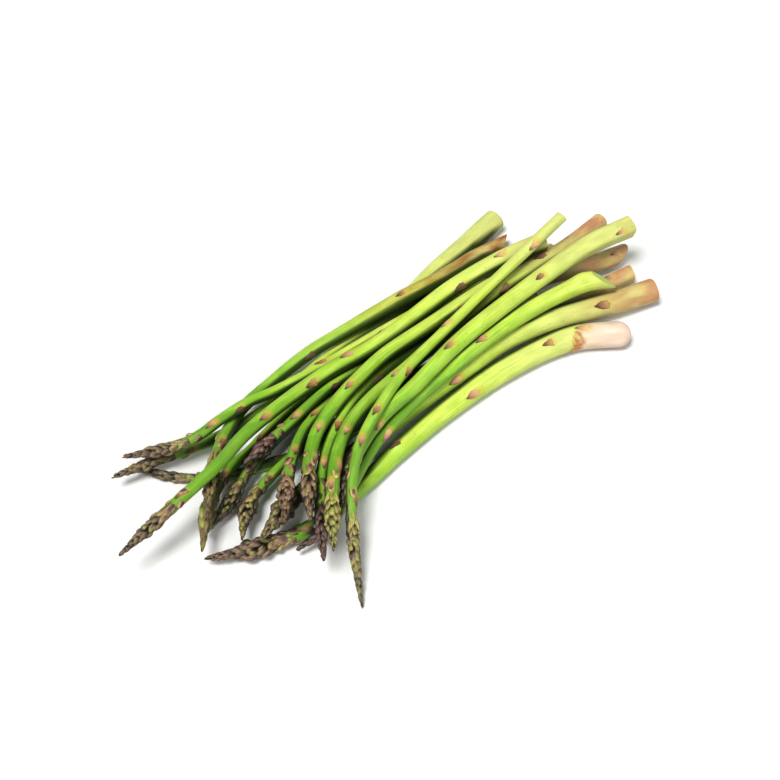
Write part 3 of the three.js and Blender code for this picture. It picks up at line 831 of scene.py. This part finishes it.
def scale_leaf():
    """Dry papery leaf pressed to the stem: straw at its root, dusty pink to rust over the blade,
    darker at its point and torn edge, with fine veins and paler patches, and painted shade, nearly
    black, where other spears close round it."""
    material, tree, shader = blank("papery_scale_leaf", 0.6)
    across, up, chance, crowd = [
        node(tree, "ShaderNodeAttribute", attribute_name=name, out="Fac")
        for name in ("across", "up", "chance", "crowd")
    ]
    grain = node(tree, "ShaderNodeAttribute", attribute_name="grain", out="Vector")
    fibre = node(tree, "ShaderNodeMapping", {"Vector": grain, "Scale": (1, 1, 0.25)})
    vein = node(tree, "ShaderNodeTexNoise", {"Vector": fibre, "Scale": 1 / LEAF_VEIN, "Detail": 5})
    wander = node(tree, "ShaderNodeMath", {0: vein, 1: 0.7, 2: up}, operation="MULTIPLY_ADD")
    level = node(tree, "ShaderNodeMath", {0: wander, 1: 0.25}, operation="SUBTRACT")
    rust = node(tree, "ShaderNodeValToRGB", {"Fac": level}, stops=[
        (0.10, "#A9AC44"), (0.28, "#B98A3C"), (0.55, "#A0602C"), (0.85, "#74401E"), (1.0, "#4A2814"),
    ])
    dusky = node(tree, "ShaderNodeValToRGB", {"Fac": level}, stops=[
        (0.10, "#B0B04A"), (0.28, "#BE9A4E"), (0.55, "#B47C50"), (0.85, "#946040"), (1.0, "#5E3A24"),
    ])
    kind = node(tree, "ShaderNodeMapRange", {"Value": chance, "From Min": 0.3, "From Max": 0.9})
    blade = node(tree, "ShaderNodeMix", {0: kind, 6: rust, 7: dusky}, **BLEND)
    dark = node(tree, "ShaderNodeHueSaturation", {"Value": 0.6, "Color": blade})
    light = node(tree, "ShaderNodeHueSaturation", {"Saturation": 0.85, "Value": 1.3, "Color": blade})
    veined = node(tree, "ShaderNodeMix", {0: vein, 6: dark, 7: light}, **BLEND)
    reach = node(tree, "ShaderNodeMath", {0: across}, operation="ABSOLUTE")
    rim = node(tree, "ShaderNodeMapRange", {
        "Value": reach, "From Min": 0.75, "From Max": 1.0, "To Max": 0.7,
    })
    tone = node(tree, "ShaderNodeMapRange", {"Value": chance, "To Min": 0.7, "To Max": 1.25})
    toned = node(tree, "ShaderNodeHueSaturation", {"Value": tone, "Color": veined})
    edged = node(tree, "ShaderNodeMix", {0: rim, 6: toned, 7: colour("#84662E")}, **BLEND)
    # Painted shade: the leaf turns nearly black where the other spears shut out the view.
    shut = node(tree, "ShaderNodeMapRange", {
        "Value": crowd, "From Min": 0.5, "From Max": 0.95, "To Max": 0.9,
    })
    final = node(tree, "ShaderNodeMix", {0: shut, 6: edged, 7: colour("#2A1C0A")}, **BLEND)
    tree.links.new(final, shader.inputs["Base Color"])
    bump = node(tree, "ShaderNodeBump", {"Height": vein, "Strength": 0.6, "Distance": 0.0005})
    tree.links.new(bump, shader.inputs["Normal"])
    return material


def head_scale():
    """Firm scales of the tip: olive to purple-brown over the back and greener on the round buds
    behind them, straw or rosy along their thin edges and ends, partly their own paler rims and
    partly painted highlight. Painted shade turns the hollows between them, and the places that
    other spears close round, nearly black."""
    material, tree, shader = blank("tip_scale_with_purple_blush", 0.5)
    across, up, chance, purple, light, along, bud, crowd, height = [
        node(tree, "ShaderNodeAttribute", attribute_name=name, out="Fac")
        for name in ("across", "up", "chance", "purple", "light", "along", "bud", "crowd", "height")
    ]
    grain = node(tree, "ShaderNodeAttribute", attribute_name="grain", out="Vector")
    fibre = node(tree, "ShaderNodeMapping", {"Vector": grain, "Scale": (1, 1, 0.3)})
    vein = node(tree, "ShaderNodeTexNoise", {"Vector": fibre, "Scale": 1 / TIP_VEIN, "Detail": 5})
    ripe = node(tree, "ShaderNodeMath", {0: chance, 1: 0.6, 2: purple}, operation="MULTIPLY_ADD")
    riper = node(tree, "ShaderNodeMath", {0: along, 1: 0.3, 2: ripe}, operation="MULTIPLY_ADD")
    younger = node(tree, "ShaderNodeMath", {0: bud, 1: -0.4, 2: riper}, operation="MULTIPLY_ADD")
    level = node(tree, "ShaderNodeMath", {0: younger, 1: 0.1}, operation="SUBTRACT")
    back = node(tree, "ShaderNodeValToRGB", {"Fac": level}, stops=[
        (0.2, "#74882A"), (0.5, "#685C26"), (0.8, "#583A34"), (1.0, "#472A30"),
    ])
    # The straw or rosy edges and ends are partly the scales' own paler rims and partly painted highlight.
    reach = node(tree, "ShaderNodeMath", {0: across}, operation="ABSOLUTE")
    edge = node(tree, "ShaderNodeMapRange", {"Value": reach, "From Min": 0.2, "From Max": 0.65})
    point = node(tree, "ShaderNodeMapRange", {"Value": up, "From Min": 0.5, "From Max": 0.95})
    both = node(tree, "ShaderNodeMath", {0: edge, 1: point}, operation="MAXIMUM")
    lively = node(tree, "ShaderNodeMath", {0: vein, 1: both}, operation="MULTIPLY")
    amount = node(tree, "ShaderNodeMath", {0: light, 1: 1.0, 2: 0.45}, operation="MULTIPLY_ADD")
    rim = node(tree, "ShaderNodeMath", {0: lively, 1: amount}, operation="MULTIPLY")
    straw = node(tree, "ShaderNodeMix", {0: purple, 6: colour("#BDB65A"), 7: colour("#B28A66")}, **BLEND)
    edged = node(tree, "ShaderNodeMix", {0: rim, 6: back, 7: straw}, **BLEND)
    dark = node(tree, "ShaderNodeHueSaturation", {"Value": 0.55, "Color": edged})
    bright = node(tree, "ShaderNodeHueSaturation", {"Value": 1.4, "Color": edged})
    veined = node(tree, "ShaderNodeMix", {0: vein, 6: dark, 7: bright}, **BLEND)
    # Painted shade: the low parts near the core, in the hollows between the scales, turn nearly black.
    hollow_painted_shade = node(tree, "ShaderNodeMapRange", {
        "Value": height, "From Min": 0.25, "From Max": 0.7, "To Min": 1.0, "To Max": 0.0,
    })
    hollow = node(tree, "ShaderNodeMix", {0: hollow_painted_shade, 6: veined, 7: colour("#171306")}, **BLEND)
    # Painted shade: nearly black where the other spears shut out the view.
    shut = node(tree, "ShaderNodeMapRange", {
        "Value": crowd, "From Min": 0.35, "From Max": 0.85, "To Max": 0.92,
    })
    final = node(tree, "ShaderNodeMix", {0: shut, 6: hollow, 7: colour("#171306")}, **BLEND)
    tree.links.new(final, shader.inputs["Base Color"])
    bump = node(tree, "ShaderNodeBump", {"Height": vein, "Strength": 0.7, "Distance": 0.0005})
    tree.links.new(bump, shader.inputs["Normal"])
    return material


MARKS = (
    "pale", "blush", "halo", "scar", "root", "share", "along", "under", "dry", "fresh", "across", "up",
    "chance", "purple", "light", "bud", "crowd", "inner", "height",
)


def make_piece(name, parts, materials):
    """One mesh from several groups of closed strips, with its marks and materials. A mark that
    a group doesn't have is 0 there."""
    offsets = np.cumsum([0] + [len(p["points"]) for p in parts])
    points = np.concatenate([p["points"] for p in parts]) * MM
    faces = np.concatenate([
        np.where(p["faces"] < 0, -1, p["faces"] + at) for p, at in zip(parts, offsets)
    ])
    corners = faces[faces >= 0]
    sizes = (faces >= 0).sum(1)
    mesh = bpy.data.meshes.new(name)
    mesh.vertices.add(len(points))
    mesh.vertices.foreach_set("co", points.astype(np.float32).ravel())
    mesh.loops.add(len(corners))
    mesh.loops.foreach_set("vertex_index", corners.astype(np.int32))
    mesh.polygons.add(len(faces))
    mesh.polygons.foreach_set("loop_start", np.concatenate([[0], np.cumsum(sizes)[:-1]]).astype(np.int32))
    for material in materials:
        mesh.materials.append(material)
    which = np.concatenate([p["materials"] for p in parts]).astype(np.int32)
    mesh.polygons.foreach_set("material_index", which)
    mesh.update(calc_edges=True)
    mesh.shade_smooth()
    grain = np.concatenate([p["grain"] for p in parts]).astype(np.float32)
    mesh.attributes.new("grain", "FLOAT_VECTOR", "POINT").data.foreach_set("vector", grain.ravel())
    for kind in MARKS:
        values = np.concatenate([
            p["marks"].get(kind, np.zeros((len(p["points"]), 1))) for p in parts
        ]).astype(np.float32)
        mesh.attributes.new(kind, "FLOAT", "POINT").data.foreach_set("value", values.ravel())
    piece = bpy.data.objects.new(name, mesh)
    bpy.context.scene.collection.objects.link(piece)
    return piece


def studio():
    """Plain pale floor, under wide soft light from high on the left and a weaker one in front."""
    floor_mesh = bpy.data.meshes.new("floor")
    far = 6.0  # half a side of the floor, in metres
    low = -0.0003  # just under the spears, whose lowest sides lie at 0
    corners = [(-far, -far, low), (far, -far, low), (far, far, low), (-far, far, low)]
    floor_mesh.from_pydata(corners, [], [(0, 1, 2, 3)])
    floor = bpy.data.objects.new("floor", floor_mesh)
    bpy.context.scene.collection.objects.link(floor)
    material, _, shader = blank("pale_studio_floor", 0.9)
    shader.inputs["Base Color"].default_value = colour("#D9D9D7")
    floor_mesh.materials.append(material)
    floor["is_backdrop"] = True
    world = bpy.data.worlds.new("studio")
    world.use_nodes = True
    world.node_tree.nodes["Background"].inputs["Color"].default_value = (1, 1, 1, 1)
    world.node_tree.nodes["Background"].inputs["Strength"].default_value = 0.20
    bpy.context.scene.world = world
    # Each lamp shines from its place, with its power, and looks as wide as its last number of degrees.
    for name, place_at, power, width in (
        ("key", (-0.45, -0.10, 1.15), 4.0, 22),
        ("front", (0.1, -0.9, 0.75), 1.3, 45),
    ):
        lamp = bpy.data.lights.new(name, "SUN")
        lamp.energy = power
        lamp.angle = math.radians(width)
        holder = bpy.data.objects.new(name, lamp)
        holder.location = place_at
        holder.rotation_mode = "QUATERNION"
        holder.rotation_quaternion = Vector(place_at).to_track_quat("Z", "Y")
        bpy.context.scene.collection.objects.link(holder)


def camera(target):
    """The photograph's viewpoint, looking at the point target."""
    data = bpy.data.cameras.new("camera")
    data.lens = LENS
    data.sensor_width = 36
    holder = bpy.data.objects.new("camera", data)
    turn = math.radians(CAMERA_TURN)
    height = math.radians(CAMERA_HEIGHT)
    back = Vector((math.sin(turn) * math.cos(height), -math.cos(turn) * math.cos(height), math.sin(height)))
    holder.location = target + back * CAMERA_AWAY * MM
    holder.rotation_mode = "QUATERNION"
    holder.rotation_quaternion = (-back).to_track_quat("-Z", "Y")
    bpy.context.scene.collection.objects.link(holder)
    bpy.context.scene.camera = holder


laid = []
for spear in SPEARS:
    spear["look"] = {**LOOK, **spear["look"]}
    lay(spear, laid)
    laid.append(spear)

# The ways are drawn round a point of their own. The frame has the middle of the bunch at its
# origin, so the bunch moves by how far the frame's nodes lie from the same spears here.
moves = []
for spear in SPEARS:
    low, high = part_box(spear["name"])
    around = spear["fine_r"][:, None]
    here = (spear["fine"][:, :2] - around).min(0) + (spear["fine"][:, :2] + around).max(0)
    moves.append((np.add(low[:2], high[:2]) / MM - here) / 2)
shift = np.median(moves, axis=0)
for spear in SPEARS:
    spear["axis"][:, :2] += shift
    spear["fine"][:, :2] += shift

bpy.context.scene.view_settings.view_transform = "Standard"
camera(Vector((*shift, AIM)) * MM)
studio()

materials = [stem_skin(), cut_face(), scale_leaf(), head_scale()]
for spear in SPEARS:
    spear["crowd"] = crowd_table(spear)
    leaf_list = leaf_places(spear)
    parts = [stem(spear, leaf_list), leaf_shapes(spear, leaf_list), *head(spear)]
    piece = make_piece(spear["name"] + "_grown", parts, materials)
    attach(piece, "root")
    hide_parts(spear["name"])

low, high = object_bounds()
